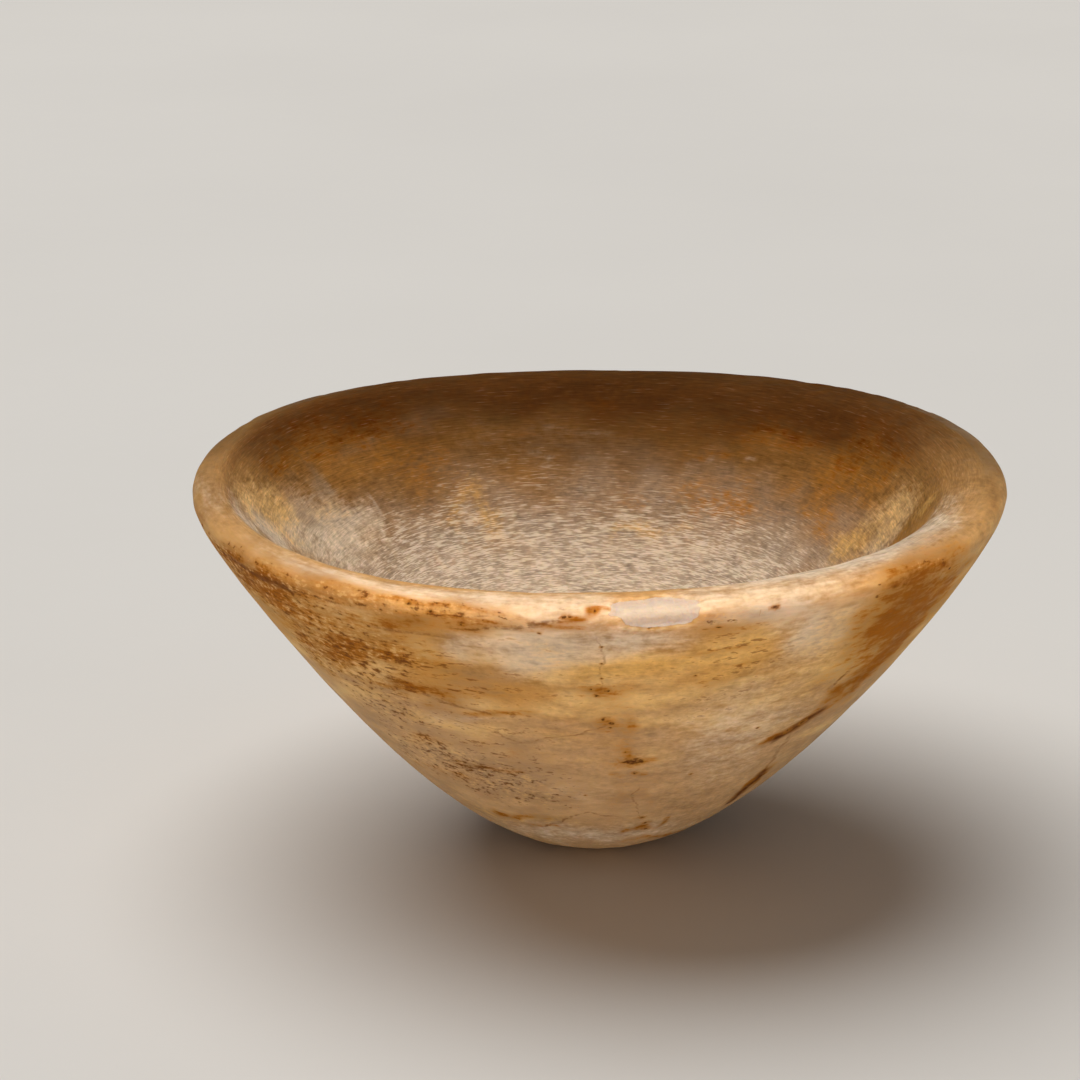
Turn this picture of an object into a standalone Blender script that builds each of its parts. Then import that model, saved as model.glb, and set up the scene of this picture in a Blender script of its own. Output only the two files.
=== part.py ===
"""An alabaster cup, carved from one piece of stone.

It is a wide, nearly conical bowl with a thick rounded lip, a hollow that follows the outside with a
heavier base, and a small flat foot. It was cut by hand: the rim rises and falls, the hollow is a little
off centre, and the body leans over its foot.

Metres, +Z up. The origin is the centre of the foot's flat underside. -Y is the side with the flake scar
on the lip, and azimuths run from +X towards +Y.
"""

import math

import bpy
import numpy as np

MM = 0.001

# Overall sizes
RIM_RADIUS = 65.0 * MM
HEIGHT = 61.4 * MM
FOOT_RADIUS = 9.0 * MM

# Outer wall, from the foot up to the widest point
UNDERSIDE_ANGLE = math.radians(6.0)
UNDERSIDE_PULL = 0.363
SHOULDER_PULL = 0.08

# Lip, in section: outside of the crest a squarish round, inside it an easier one
LIP_OUTER_WIDTH = 4.0 * MM
LIP_OUTER_DROP = 2.5 * MM
LIP_SQUARENESS = 2.4
LIP_INNER_WIDTH = 5.3 * MM
LIP_INNER_DROP = 4.7 * MM

# Hollow
INNER_WALL_SLOPE = math.radians(45.0)
INNER_SLOPE_SWING = math.radians(4.0)
FLOOR_THICKNESS = 19.0 * MM
INNER_WALL_PULL = 0.35
FLOOR_PULL = 0.42

# Unevenness of the hand-cut form
BODY_LEAN = 1.1 * MM
HOLLOW_OFFSET = 1.9 * MM
RIM_OUT_OF_ROUND = 0.4 * MM
OUT_OF_ROUND_LOBES = 3
TILT_RISE = 0.45 * MM
TILT_HIGH_AT = math.radians(57.0)
SADDLE_RISE = 0.70 * MM
SADDLE_HIGH_AT = math.radians(-19.0)
TRIPLE_RISE = 0.60 * MM
TRIPLE_HIGH_AT = math.radians(34.0)
WAVE_START = 30.0 * MM

# Scar where a flake has come off the front of the lip
FLAKE_AT = math.radians(-83.0)
FLAKE_HALF_WIDTH = 7.5 * MM
FLAKE_HALF_HEIGHT = 3.6 * MM
FLAKE_BELOW_CREST = 3.2 * MM
FLAKE_DEPTH = 0.6 * MM

# Facets
SEGMENTS = 90
WALL_ROWS = 14
LIP_OUTER_ROWS = 7
LIP_INNER_ROWS = 5
HOLLOW_ROWS = 11
SHARP_ANGLE = math.radians(40.0)

# Alabaster
STONE_COLOUR = (0.56, 0.36, 0.19, 1.0)
STONE_ROUGHNESS = 0.45
STONE_METALLIC = 0.0


def clear_scene():
    """Removes whatever the file holds."""
    for item in list(bpy.data.objects):
        bpy.data.objects.remove(item)


def bezier(points, count):
    """A cubic curve through the first and last of four (radius, height) points, at `count` even steps.

    Each point's radius and height may be one number or one for each azimuth.
    """
    t = np.linspace(0.0, 1.0, count)[:, None]
    s = 1.0 - t
    shares = (s**3, 3 * s**2 * t, 3 * s * t**2, t**3)
    across = sum(share * point[0] for share, point in zip(shares, points))
    up = sum(share * point[1] for share, point in zip(shares, points))
    return across, up


def outer_wall():
    """(radius, height) up the outside, from the edge of the foot to the widest point."""
    shoulder = HEIGHT - LIP_OUTER_DROP
    under = UNDERSIDE_PULL * (RIM_RADIUS - FOOT_RADIUS)
    foot = (FOOT_RADIUS, 0.0)
    foot_pull = (FOOT_RADIUS + under * math.cos(UNDERSIDE_ANGLE), under * math.sin(UNDERSIDE_ANGLE))
    shoulder_pull = (RIM_RADIUS, shoulder * (1.0 - SHOULDER_PULL))
    return bezier((foot, foot_pull, shoulder_pull, (RIM_RADIUS, shoulder)), WALL_ROWS)


def outer_lip():
    """(radius, height) over the outer half of the lip, a quarter of a squared ellipse, up to the crest."""
    turn = np.linspace(0.0, math.pi / 2, LIP_OUTER_ROWS)[1:, None]
    power = 2.0 / LIP_SQUARENESS
    across = RIM_RADIUS - LIP_OUTER_WIDTH * (1.0 - np.clip(np.cos(turn), 0.0, 1.0) ** power)
    up = HEIGHT - LIP_OUTER_DROP * (1.0 - np.sin(turn) ** power)
    return across, up


def inner_lip(slope):
    """(radius, height) over the inner half of the lip, an ellipse's arc as far as the hollow's slope."""
    end = np.arctan(np.tan(slope) * LIP_INNER_WIDTH / LIP_INNER_DROP)
    turn = np.linspace(0.0, 1.0, LIP_INNER_ROWS + 1)[1:, None] * end
    across = RIM_RADIUS - LIP_OUTER_WIDTH - LIP_INNER_WIDTH * np.sin(turn)
    up = HEIGHT - LIP_INNER_DROP * (1.0 - np.cos(turn))
    return across, up


def hollow(radius, height, slope):
    """(radius, height) down the hollow from its edge to the middle of its floor."""
    reach = INNER_WALL_PULL * np.hypot(radius, height - FLOOR_THICKNESS)
    wall_pull = (radius - reach * np.cos(slope), height - reach * np.sin(slope))
    floor_pull = (FLOOR_PULL * radius, FLOOR_THICKNESS)
    across, up = bezier(((radius, height), wall_pull, floor_pull, (0.0, FLOOR_THICKNESS)), HOLLOW_ROWS + 1)
    return across[1:], up[1:]


def rim_wave(azimuth):
    """How far the rim rises above its mean height: a tilt, a saddle and a threefold wave."""
    tilt = TILT_RISE * np.cos(azimuth - TILT_HIGH_AT)
    saddle = SADDLE_RISE * np.cos(2 * (azimuth - SADDLE_HIGH_AT))
    triple = TRIPLE_RISE * np.cos(3 * (azimuth - TRIPLE_HIGH_AT))
    return tilt + saddle + triple


def flake_scar(azimuth, height):
    """Depth of the flake scar: a shallow oval dish on the outer side of the lip."""
    turn = (azimuth - FLAKE_AT + math.pi) % (2 * math.pi) - math.pi
    across = turn * RIM_RADIUS / FLAKE_HALF_WIDTH
    along = (height - (HEIGHT - FLAKE_BELOW_CREST)) / FLAKE_HALF_HEIGHT
    return FLAKE_DEPTH * np.clip(1.0 - across**2 - along**2, 0.0, 1.0)


def cup_surface():
    """Rings of points over the cup, from the foot's edge over the lip to the middle of the floor.

    A ring is a circle of the section's radius. Near the rim it swells in three lobes and follows the
    rim's wave, which fades out below WAVE_START. The outside leans towards +X as it rises. The hollow is
    set towards -X of the rim, and its wall is steeper on the +X side than on the -X side.
    """
    azimuth = np.linspace(0.0, 2 * math.pi, SEGMENTS, endpoint=False)[None, :]
    slope = INNER_WALL_SLOPE + INNER_SLOPE_SWING * np.cos(azimuth)
    lip_edge = inner_lip(slope)
    parts = (outer_wall(), outer_lip(), lip_edge, hollow(lip_edge[0][-1:], lip_edge[1][-1:], slope))
    radius = np.vstack([np.broadcast_to(across, (len(across), SEGMENTS)) for across, _ in parts])
    height = np.vstack([np.broadcast_to(up, (len(up), SEGMENTS)) for _, up in parts])

    outside_rows = WALL_ROWS + LIP_OUTER_ROWS - 1
    row = np.arange(len(radius))[:, None]
    into_hollow = np.clip((row - (outside_rows - 1)) / LIP_INNER_ROWS, 0.0, 1.0)
    near_rim = np.clip((height - WAVE_START) / (HEIGHT - WAVE_START), 0.0, 1.0) ** 2
    swell = RIM_OUT_OF_ROUND * np.cos(OUT_OF_ROUND_LOBES * (azimuth - math.pi))
    scar = np.where(into_hollow > 0.0, 0.0, flake_scar(azimuth, height))
    ring = radius + (radius / RIM_RADIUS) * near_rim * swell - scar

    rise = np.clip(height / (HEIGHT - LIP_OUTER_DROP), 0.0, 1.0)
    lean = np.where(into_hollow > 0.0, BODY_LEAN, BODY_LEAN * (1.0 - (1.0 - rise) ** 2))
    x = ring * np.cos(azimuth) + lean - HOLLOW_OFFSET * into_hollow
    y = ring * np.sin(azimuth)
    z = height + near_rim * rim_wave(azimuth)
    return np.stack((x, y, z), axis=-1)


def closed_mesh(name, rings):
    """A closed mesh: quads between rings, a flat disc under the first and a fan inside the last one."""
    last = rings[-1].mean(axis=0)
    points = np.vstack((rings[:-1].reshape(-1, 3), last))
    rows = len(rings) - 1
    step = np.arange(SEGMENTS)
    following = (step + 1) % SEGMENTS
    faces = [step[::-1].tolist()]
    for row in range(rows - 1):
        low = row * SEGMENTS
        high = low + SEGMENTS
        faces += np.stack((low + step, low + following, high + following, high + step), -1).tolist()
    top = (rows - 1) * SEGMENTS
    middle = np.full(SEGMENTS, len(points) - 1)
    faces += np.stack((top + step, top + following, middle), -1).tolist()
    mesh = bpy.data.meshes.new(name)
    mesh.from_pydata(points.tolist(), [], faces)
    mesh.shade_smooth()
    mesh.set_sharp_from_angle(angle=SHARP_ANGLE)
    return mesh


def alabaster():
    """Honey-coloured alabaster with a worn, half-dull polish."""
    material = bpy.data.materials.new("alabaster")
    material.use_nodes = True
    shader = material.node_tree.nodes["Principled BSDF"]
    shader.inputs["Base Color"].default_value = STONE_COLOUR
    shader.inputs["Roughness"].default_value = STONE_ROUGHNESS
    shader.inputs["Metallic"].default_value = STONE_METALLIC
    return material


def build_cup():
    """The cup, standing on its foot at the origin."""
    mesh = closed_mesh("cup", cup_surface())
    mesh.materials.append(alabaster())
    cup = bpy.data.objects.new("cup", mesh)
    bpy.context.scene.collection.objects.link(cup)
    return cup


clear_scene()
build_cup()
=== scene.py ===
"""The alabaster cup's finished surface and its plain stage.

The cup is one surface over a grid of azimuth and profile rows. It has the solid model's form, with
finer relief cut into it: a flake scar and a shallower one beside it, nicks along the rim, and the soft
facets of hand work. Stains, veins and tool marks are laid on it as fields, which the stone reads.
"""

import math

import bpy
import numpy as np
from bpy.props import FloatProperty, FloatVectorProperty, IntProperty, PointerProperty
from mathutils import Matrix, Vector


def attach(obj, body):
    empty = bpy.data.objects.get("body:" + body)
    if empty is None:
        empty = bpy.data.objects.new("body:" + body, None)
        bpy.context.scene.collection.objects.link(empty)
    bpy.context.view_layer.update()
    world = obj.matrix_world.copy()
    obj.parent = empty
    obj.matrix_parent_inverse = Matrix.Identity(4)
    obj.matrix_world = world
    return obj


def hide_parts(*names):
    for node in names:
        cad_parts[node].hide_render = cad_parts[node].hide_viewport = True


bl_info = {
    "name": "Alabaster cup",
    "version": (1, 0, 0),
    "blender": (4, 5, 0),
    "location": "3D View > Sidebar > Cup",
    "description": "Makes a hand-carved alabaster cup and a plain stage for it",
    "category": "Object",
}

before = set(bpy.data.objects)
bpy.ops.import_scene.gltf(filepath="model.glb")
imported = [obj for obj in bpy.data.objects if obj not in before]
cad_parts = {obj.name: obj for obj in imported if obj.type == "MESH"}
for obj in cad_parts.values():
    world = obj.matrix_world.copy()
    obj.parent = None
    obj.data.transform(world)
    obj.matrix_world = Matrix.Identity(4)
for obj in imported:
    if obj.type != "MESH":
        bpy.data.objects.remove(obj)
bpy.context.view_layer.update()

MM = 0.001
OUT = "outside"
IN = "inside"


# Values that a user may change


def size_prop(name, description, millimetres):
    """A length, given here in millimetres and kept in metres."""
    return FloatProperty(name=name, description=description, default=millimetres * MM, unit="LENGTH")


def angle_prop(name, description, degrees):
    """An angle, given here in degrees."""
    value = math.radians(degrees)
    return FloatProperty(name=name, description=description, default=value, subtype="ANGLE")


def number_prop(name, description, value, **settings):
    """A number, with a unit or a limit where the settings give one."""
    return FloatProperty(name=name, description=description, default=value, **settings)


def colour_prop(name, description, *linear):
    """A colour, as its linear red, green and blue."""
    settings = {"subtype": "COLOR", "min": 0.0, "max": 1.0}
    return FloatVectorProperty(name=name, description=description, default=linear, **settings)


class CupSizes(bpy.types.PropertyGroup):
    """Sizes of the carved form, as the solid model has them."""

    rim_radius: size_prop("Rim radius", "Radius at the widest point", 65.0)
    height: size_prop("Height", "Mean height of the rim's crest", 61.4)
    foot_radius: size_prop("Foot radius", "Radius of the flat underside", 9.0)
    underside_angle: angle_prop("Underside angle", "Rise of the wall where it leaves the foot", 6.0)
    underside_pull: number_prop("Underside pull", "How far the underside holds that angle", 0.363)
    shoulder_pull: number_prop("Shoulder pull", "How far the wall stays upright below the lip", 0.08)
    lip_outer_width: size_prop("Outer lip width", "From the widest point in to the crest", 4.0)
    lip_outer_drop: size_prop("Outer lip drop", "From the crest down to the widest point", 2.5)
    lip_squareness: number_prop("Lip squareness", "Power of the squared ellipse; 2 is a true one", 2.4)
    lip_inner_width: size_prop("Inner lip width", "Half axis of the inner lip's ellipse", 5.3)
    lip_inner_drop: size_prop("Inner lip drop", "Half axis of the inner lip's ellipse, downwards", 4.7)
    inner_slope: angle_prop("Hollow slope", "Slope of the hollow's wall at the lip", 45.0)
    inner_slope_swing: angle_prop("Slope swing", "How much steeper the +X side of the hollow is", 4.0)
    floor_thickness: size_prop("Base thickness", "Stone under the middle of the hollow", 19.0)
    inner_wall_pull: number_prop("Hollow wall pull", "How far the hollow's wall runs straight", 0.35)
    floor_pull: number_prop("Floor pull", "How far the hollow's floor runs level", 0.42)
    body_lean: size_prop("Body lean", "How far the body leans over its foot", 1.1)
    hollow_offset: size_prop("Hollow offset", "How far the hollow is set off the rim's axis", 1.9)
    out_of_round: size_prop("Out of round", "Swell of the rim's three lobes", 0.4)
    tilt_rise: size_prop("Rim tilt", "Rise of the rim's tilt", 0.45)
    saddle_rise: size_prop("Rim saddle", "Rise of the rim's saddle", 0.70)
    triple_rise: size_prop("Rim waves", "Rise of the rim's threefold wave", 0.60)
    wave_start: size_prop("Wave start", "Height below which the rim's wave has faded out", 30.0)
    around: IntProperty(
        name="Points round", description="Points in each ring of the surface", default=448, min=48
    )


class StoneColours(bpy.types.PropertyGroup):
    """Colours of the alabaster and of what stains it."""

    honey: colour_prop("Honey", "Main colour of the outside", 0.470, 0.235, 0.066)
    pale_honey: colour_prop("Pale honey", "Lighter clouds in the outside", 0.590, 0.355, 0.140)
    rose: colour_prop("Rose", "Greyer, pinker stone low on the body", 0.475, 0.282, 0.138)
    lip: colour_prop("Lip", "Smooth tan of the lip", 0.470, 0.250, 0.095)
    # Pale stone, and painted light: the lit front of the lip, the glowing front wall and a brighter
    # patch low on the front
    cream_and_painted_light: colour_prop("Cream", "Pale zones and the front of the lip", 0.600, 0.470, 0.345)
    gold: colour_prop("Gold", "Yellow zones", 0.620, 0.350, 0.105)
    rust: colour_prop("Rust", "Orange-brown iron stain", 0.365, 0.148, 0.022)
    deep_rust: colour_prop("Deep rust", "Middle of the darkest stain", 0.250, 0.078, 0.005)
    umber: colour_prop("Umber", "Fine strokes round the outside", 0.145, 0.048, 0.010)
    iron: colour_prop("Iron", "Dark spots and veins", 0.065, 0.018, 0.004)
    ash: colour_prop("Ash", "Grey-brown mottled stone", 0.300, 0.200, 0.120)
    hollow: colour_prop("Hollow", "Stone low in the hollow", 0.457, 0.344, 0.252)
    # Partly a brown stain and partly painted shade: the top of the hollow, under the lip, darker
    hollow_top_stain_and_shade: colour_prop("Top of the hollow", "Browner stone under the lip", 0.280, 0.130, 0.032)
    # Partly the pale stone of the tool marks, partly painted highlight where the marks catch the light
    dash: colour_prop("Tool dash", "Pale strokes that the tool left in the hollow", 0.800, 0.680, 0.540)
    # Painted shade: a darker brown over the back of the lip and the top of the hollow, where the light
    # falls off
    painted_shade: colour_prop("Dusk", "Darkens the back of the lip and hollow", 0.350, 0.212, 0.074)
    scar: colour_prop("Fresh scar", "Pinkish white of flaked stone", 0.465, 0.385, 0.330)


class StageLook(bpy.types.PropertyGroup):
    """The floor, the lights and the camera."""

    floor_colour: colour_prop("Floor", "Colour of the floor", 0.74, 0.72, 0.69)
    sky_strength: number_prop("Sky", "Strength of the even light from all round", 0.16, min=0.0)
    wash_strength: number_prop(
        "Floor wash", "Strength of the wide light that falls on the floor alone", 2.5, min=0.0
    )
    pool_power: number_prop(
        "Pool", "Power of the soft pool of light over the cup", 12.3, unit="POWER", min=0.0
    )
    pool_width: angle_prop("Pool width", "Full angle of its cone", 21.4)
    fill_power: number_prop("Low fill", "Power of the low panel in front", 1.05, unit="POWER", min=0.0)
    camera_distance: size_prop("Camera distance", "From the cup's axis, level", 550.0)
    camera_height: size_prop("Camera height", "Over the floor", 229.4)
    camera_pitch: angle_prop("Camera pitch", "How far it looks down", 18.13)
    camera_lens: number_prop("Focal length", "Millimetres on a 36 mm frame", 119.66)
    camera_shift: number_prop("Sideways shift", "Share of the frame's width", -0.0571)


# Rows of the surface, from the foot up the outside, over the lip and down the hollow
WALL_ROWS = 108
LIP_OUTER_ROWS = 21
LIP_INNER_ROWS = 22
HOLLOW_ROWS = 62

# Sections of the rim's wave and of the body's sway, as the solid model has them
OUT_OF_ROUND_LOBES = 3
TILT_HIGH_AT = math.radians(57.0)
SADDLE_HIGH_AT = math.radians(-19.0)
TRIPLE_HIGH_AT = math.radians(34.0)

# Flake scars on the front of the lip: azimuth in degrees, then in mm half width, half height, way from
# the crest and depth. Their outline is a squared ellipse with steep sides.
FLAKES = ((-83.3, 7.0, 3.4, 4.2, 0.60), (-68.3, 4.6, 2.6, 6.4, 0.16))
FLAKE_POWER = 2.6
FLAKE_STEEPNESS = 2.2

# Nicks along the rim: way from the crest as mean and spread, then the least and most half width and
# depth, in mm. A nick's half height is a share of its half width, and a nick on the front of the rim
# has only a share of its depth.
NICKS = 90
NICK_SEED = 11
NICK_PLACE = (0.6, 1.8)
NICK_WIDTH = (0.9, 2.6)
NICK_DEPTH = (0.08, 0.34)
NICK_HEIGHT = 0.6
NICK_FRONT_SHARE = 0.35

# Soft facets of hand work: waves round the cup, their slant in radians for each FACET_RISE mm of the
# section, depth in mm
FACETS = (
    (9, 2, 0.05), (14, -5, 0.05), (23, 8, 0.04), (31, -13, 0.035), (47, 21, 0.025), (64, -30, 0.02),
)
FACET_SEED = 5
FACET_RISE = 40.0

# Heights and radii in mm under which the relief fades out, at the foot and in the middle of the floor
KEEP_HEIGHT = 2.0
KEEP_RADIUS = 4.0

# Zones of colour by side: azimuth in degrees, height, half width and half height along the surface in
# mm, slant in degrees, strength. A zone is at half its strength where its ellipse ends.
# Pale zones: partly pale stone, partly painted light on the lit front of the lip and painted glow on the
# front wall
CREAM_AND_LIGHT_ZONES = {
    OUT: (
        (-84, 60.9, 32, 2.5, 0, 0.73), (-124, 61.1, 20, 1.9, 0, 0.55), (-90, 8, 14, 5.5, 0, 0.62),
        (-168, 60.9, 10, 2.6, 0, 0.35), (-98, 53, 9, 5.5, 0, 1), (-84, 54, 7, 3, 0, 0.7),
        (-67, 57.6, 7, 2.6, 0, 0.85), (-58, 52, 7, 5, 0, 0.85), (-64, 37, 12, 10, 0, 0.5),
        (-60, 24, 8, 8, 0, 0.25), (-34, 50, 2, 8, 14, 0.15), (-115, 36, 8, 1.8, -14, 0.35),
        (-95, 20, 9, 5, 0, 0.25), (-151, 57.5, 3, 1.4, 0, 0.6),
    ),
    IN: (
        (-38, 60.6, 17, 3.6, 0, 1), (-60, 61, 14, 2.6, 0, 0.9), (-152, 60.2, 15, 2.8, 0, 0.85),
        (-167, 54, 9, 5, 0, 0.95), (172, 52, 9, 6, 0, 0.6), (7, 51.5, 7, 6, 0, 0.55),
        (33, 52, 2.6, 7, 8, 0.3), (66, 45, 2, 7, 0, 0.25), (141, 47, 0.9, 4, 14, 0.5),
        (148, 42.5, 0.9, 4, 22, 0.55), (162, 45.5, 12, 5, 0, 1), (178, 50, 5, 3, 0, 0.6),
        (40, 38, 9, 5, 0, 0.35), (0, 48, 6, 3, 0, 0.45), (101, 49, 12, 0.3, 0, 0.6),
        (92, 53.5, 12, 0.5, 2, 0.45), (59, 50.5, 6, 0.4, -4, 0.7),
    ),
}
GOLD_ZONES = {
    OUT: (
        (-86, 48.6, 14, 2.6, 0, 1), (-72, 50.5, 6, 8, 10, 0.8), (-98, 53, 9, 5, 0, 0.3),
        (-55, 46, 7, 12, 10, 0.6), (-45, 52, 9, 8, 0, 0.7), (-34, 53, 5, 9, 12, 0.6),
        (-112, 57, 9, 1.6, 0, 0.6), (-117, 49.5, 8, 4, -6, 0.45), (-116, 12, 9, 2.6, -8, 0.6),
    ),
    IN: (
        (178, 53.5, 7.5, 5, 0, 0.95), (-172, 57, 5, 3, 0, 0.7), (160, 48.5, 5, 2.5, 0, 0.5),
        (118, 42.5, 2.6, 4.5, 15, 0.9), (74, 39.5, 3, 1.4, 0, 0.8), (66, 41, 1.6, 1.4, 0, 0.6),
        (7, 51, 6, 7, 0, 0.85), (16, 45.5, 5, 3, 0, 0.8), (-6, 56.5, 4, 3.5, 0, 0.9),
    ),
}
RUST_ZONES = {
    OUT: (
        (-131, 47, 10, 2.8, -12, 1), (-119, 41, 9, 1.5, -10, 1), (-109, 38.6, 7, 1, -8, 0.7),
        (-132, 51.5, 13, 7, -8, 0.6), (-113, 48, 11, 5.5, -5, 0.42), (-139, 41.5, 8, 4, -15, 0.55),
        (-113, 25, 8, 1.2, -6, 0.45), (-124, 29.5, 8, 1.4, -12, 0.45),
        (-107, 29.5, 5, 0.9, -10, 0.4), (-128, 20.5, 8, 1.8, -8, 0.45), (-126, 24.5, 6, 4, -8, 0.3),
        (-116, 55, 7, 0.9, -4, 0.8), (-105, 56.4, 6, 0.7, 0, 0.75), (-97, 57.9, 4, 0.7, 8, 0.9),
        (-94.6, 59.1, 1.9, 0.6, 0, 1.1), (-91.2, 60.2, 1.1, 0.9, 0, 1.2),
        (-89.2, 60.8, 1.6, 0.5, 0, 0.6), (-109, 58.3, 7, 0.7, 0, 0.55), (-141, 57.2, 12, 1.2, 0, 1),
        (-155, 57.4, 9, 2, 0, 1), (-149, 53.5, 12, 4, -8, 1), (-118, 59, 10, 0.8, 0, 0.55),
        (-33.5, 53.5, 6, 8, 0, 1), (-142, 53, 9, 4, -10, 0.6), (-43.5, 51.5, 4.6, 8, 14, 1.25),
        (-37.5, 44, 4.4, 7, 14, 1.25), (-46, 51.5, 2, 4.5, 14, 0.9), (-39.5, 45, 2.2, 5.5, 14, 0.9),
        (-45.5, 57, 4, 2.5, 0, 0.9), (-50.5, 50, 4, 9, 12, 0.55), (-42, 37, 4, 5, 14, 0.9),
        (-118, 12.5, 4.5, 1.6, -10, 0.9), (-106, 9.5, 4, 1, 0, 0.6), (-58, 5.5, 6, 1.6, 0, 0.8),
        (-73.5, 10.5, 1.7, 2.6, 10, 0.95), (-73, 55.5, 6, 1, 0, 0.5), (-75.5, 59, 2.2, 0.7, 0, 0.6),
        (-74, 50.6, 5, 0.7, 0, 0.7), (-74, 44.3, 5, 0.7, 0, 0.45), (-70, 47.5, 4, 0.6, 0, 0.5),
        (-89.6, 42.4, 2.8, 1.9, 15, 0.95), (-88.5, 37.3, 1.2, 1.7, -30, 0.7),
        (-84.8, 30.2, 1.2, 1.6, -40, 0.8), (-81, 28.5, 2.4, 0.7, 0, 0.6),
        (-82.6, 25.5, 1.1, 0.8, 0, 0.8), (-87, 33.5, 2.4, 6, -10, 0.38), (-81, 20, 1.8, 6, 0, 0.3),
        (-50, 30.5, 4.2, 1.2, -30, 1.2), (-45, 16.5, 1.6, 5, 0, 0.95),
    ),
    IN: (
        (140, 56, 13, 4.5, 0, 0.7), (160, 57, 12, 3.5, 0, 0.66), (126, 49.5, 7, 5, 25, 0.38),
        (52, 55, 9, 2.5, 0, 0.75), (62, 51, 5, 1.2, 0, 0.7), (33, 53, 4, 7, 10, 0.78),
        (22, 55, 8, 5, 0, 0.72), (90, 57.6, 5, 0.9, 0, 0.6), (78, 43.5, 2.4, 1.4, 0, 0.35),
        (105, 52, 6, 1, 0, 0.45), (30, 45, 4, 3, 0, 0.45), (57, 45, 9, 3.5, 0, 0.55),
    ),
}
ASH_ZONES = {
    OUT: (
        (-126, 26, 10, 9, 0, 0.55), (-126, 36, 12, 4, -10, 0.3), (-104, 24, 9, 8, 0, 0.5),
    ),
    IN: (
        (168, 49.8, 2.2, 3.4, -20, 0.9), (156, 52, 5, 1.7, -35, 0.85),
        (138, 54.6, 6, 1.5, -15, 0.85), (124, 55.8, 5, 1.5, -8, 0.7), (20, 50.5, 1.4, 1.8, 0, 0.7),
        (100, 51.5, 22, 6, 0, 0.45),
    ),
}
PIT_ZONES = {
    OUT: (
        (-143, 53.5, 15, 6, -8, 1), (-126, 48, 10, 5, -10, 0.85), (-130, 35, 9, 4, -20, 0.85),
        (-138, 42, 9, 6, -15, 0.85), (-118, 42, 9, 3, -10, 0.45), (-129, 24.5, 9, 6, -10, 1),
        (-114, 22, 11, 6, -10, 0.75), (-100, 17, 10, 5, 0, 0.4), (-114, 57.8, 14, 2, 0, 0.95),
        (-68, 56.5, 8, 2.5, 0, 0.35), (-155, 57, 8, 3, 0, 1), (-74, 58, 4, 1.4, 0, 0.8),
        (-50, 57, 9, 2, 0, 0.5), (-40, 59.5, 7, 1.4, 0, 0.6),
    ),
}
STROKE_ZONES = {
    OUT: (
        (-120, 46, 24, 9, -6, 1), (-116, 26, 20, 14, -8, 1), (-66, 44, 16, 9, -6, 0.55),
        (-72, 50, 7, 9, 0, 0.9), (-90, 45, 12, 6, 0, 0.35), (90, 40, 90, 20, 0, 0.45),
    ),
}
# Where the hollow's pale tool strokes lie, which are partly painted highlight
DASH_AND_HIGHLIGHT_ZONES = {
    IN: (
        (96, 33, 40, 12, 0, 1.25), (130, 37, 12, 9, 0, 1), (60, 36, 12, 9, 0, 1),
        (100, 48, 30, 4.5, 0, 0.15), (-90, 33, 60, 12, 0, 1.1),
    ),
}
# Painted shade at the back: the rim outside and in, and the back of the hollow, darkened where the light
# falls off
PAINTED_SHADE_ZONES = {
    OUT: (
        (90, 61.3, 66, 4, 0, 0.95),
    ),
    IN: (
        (90, 59.3, 40, 6.5, 0, 1), (140, 59.5, 24, 5, 0, 0.8), (92, 50, 30, 5, 0, 0.42),
        (163, 60.8, 10, 3, 0, 0.4), (40, 59.5, 24, 6, 0, 0.9),
    ),
}

# The zones by the name of the field that they make
ZONES = {
    "cream_and_painted_light": CREAM_AND_LIGHT_ZONES,
    "gold": GOLD_ZONES,
    "rust": RUST_ZONES,
    "ash": ASH_ZONES,
    "pitted": PIT_ZONES,
    "stroked": STROKE_ZONES,
    "dashed": DASH_AND_HIGHLIGHT_ZONES,
    "painted_shade": PAINTED_SHADE_ZONES,
}

# Width of the change from outside to inside at the crest, and half width of the lip's tan, in mm
INSIDE_FADE = 5.0
LIP_HALF = 6.0

# Ripples, each a sum of plane waves: amount, seed, length in mm, and how far drawn out round the cup.
# They bend the zones' outlines round the cup and along it, make the flakes' edge wander, and tint the
# stone.
RIPPLE_WAVES = 40
WARP_ROUND = ((1.6, 31, 16.0, 1.0), (0.8, 32, 7.0, 1.0))
WARP_ALONG = ((0.8, 33, 14.0, 1.8), (0.4, 34, 5.0, 2.0))
FLAKE_EDGE = ((0.13, 51, 5.0, 1.0), (0.10, 52, 2.4, 1.0))
CLOUD = ((0.20, 41, 15.0, 1.5), (0.12, 42, 6.0, 1.5))
TIDE = ((0.20, 43, 7.0, 4.0), (0.12, 44, 3.0, 4.0))

# Random clouds of colour on the plainer side: seed by field, strength, amount of the ripple, its
# length in mm and how far it is drawn out. They fade out over the front, given in degrees by its middle,
# its half width and the width of the fade.
CLOUD_SEEDS = {"cream_and_painted_light": 21, "gold": 22, "rust": 23, "ash": 24}
CLOUD_STRENGTH = 0.55
CLOUD_SHARE = 0.7
CLOUD_LENGTH = 34.0
CLOUD_STREAK = 2.0
VISIBLE_MIDDLE = -90.0
VISIBLE_HALF = 75.0
VISIBLE_FADE = 20.0

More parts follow.
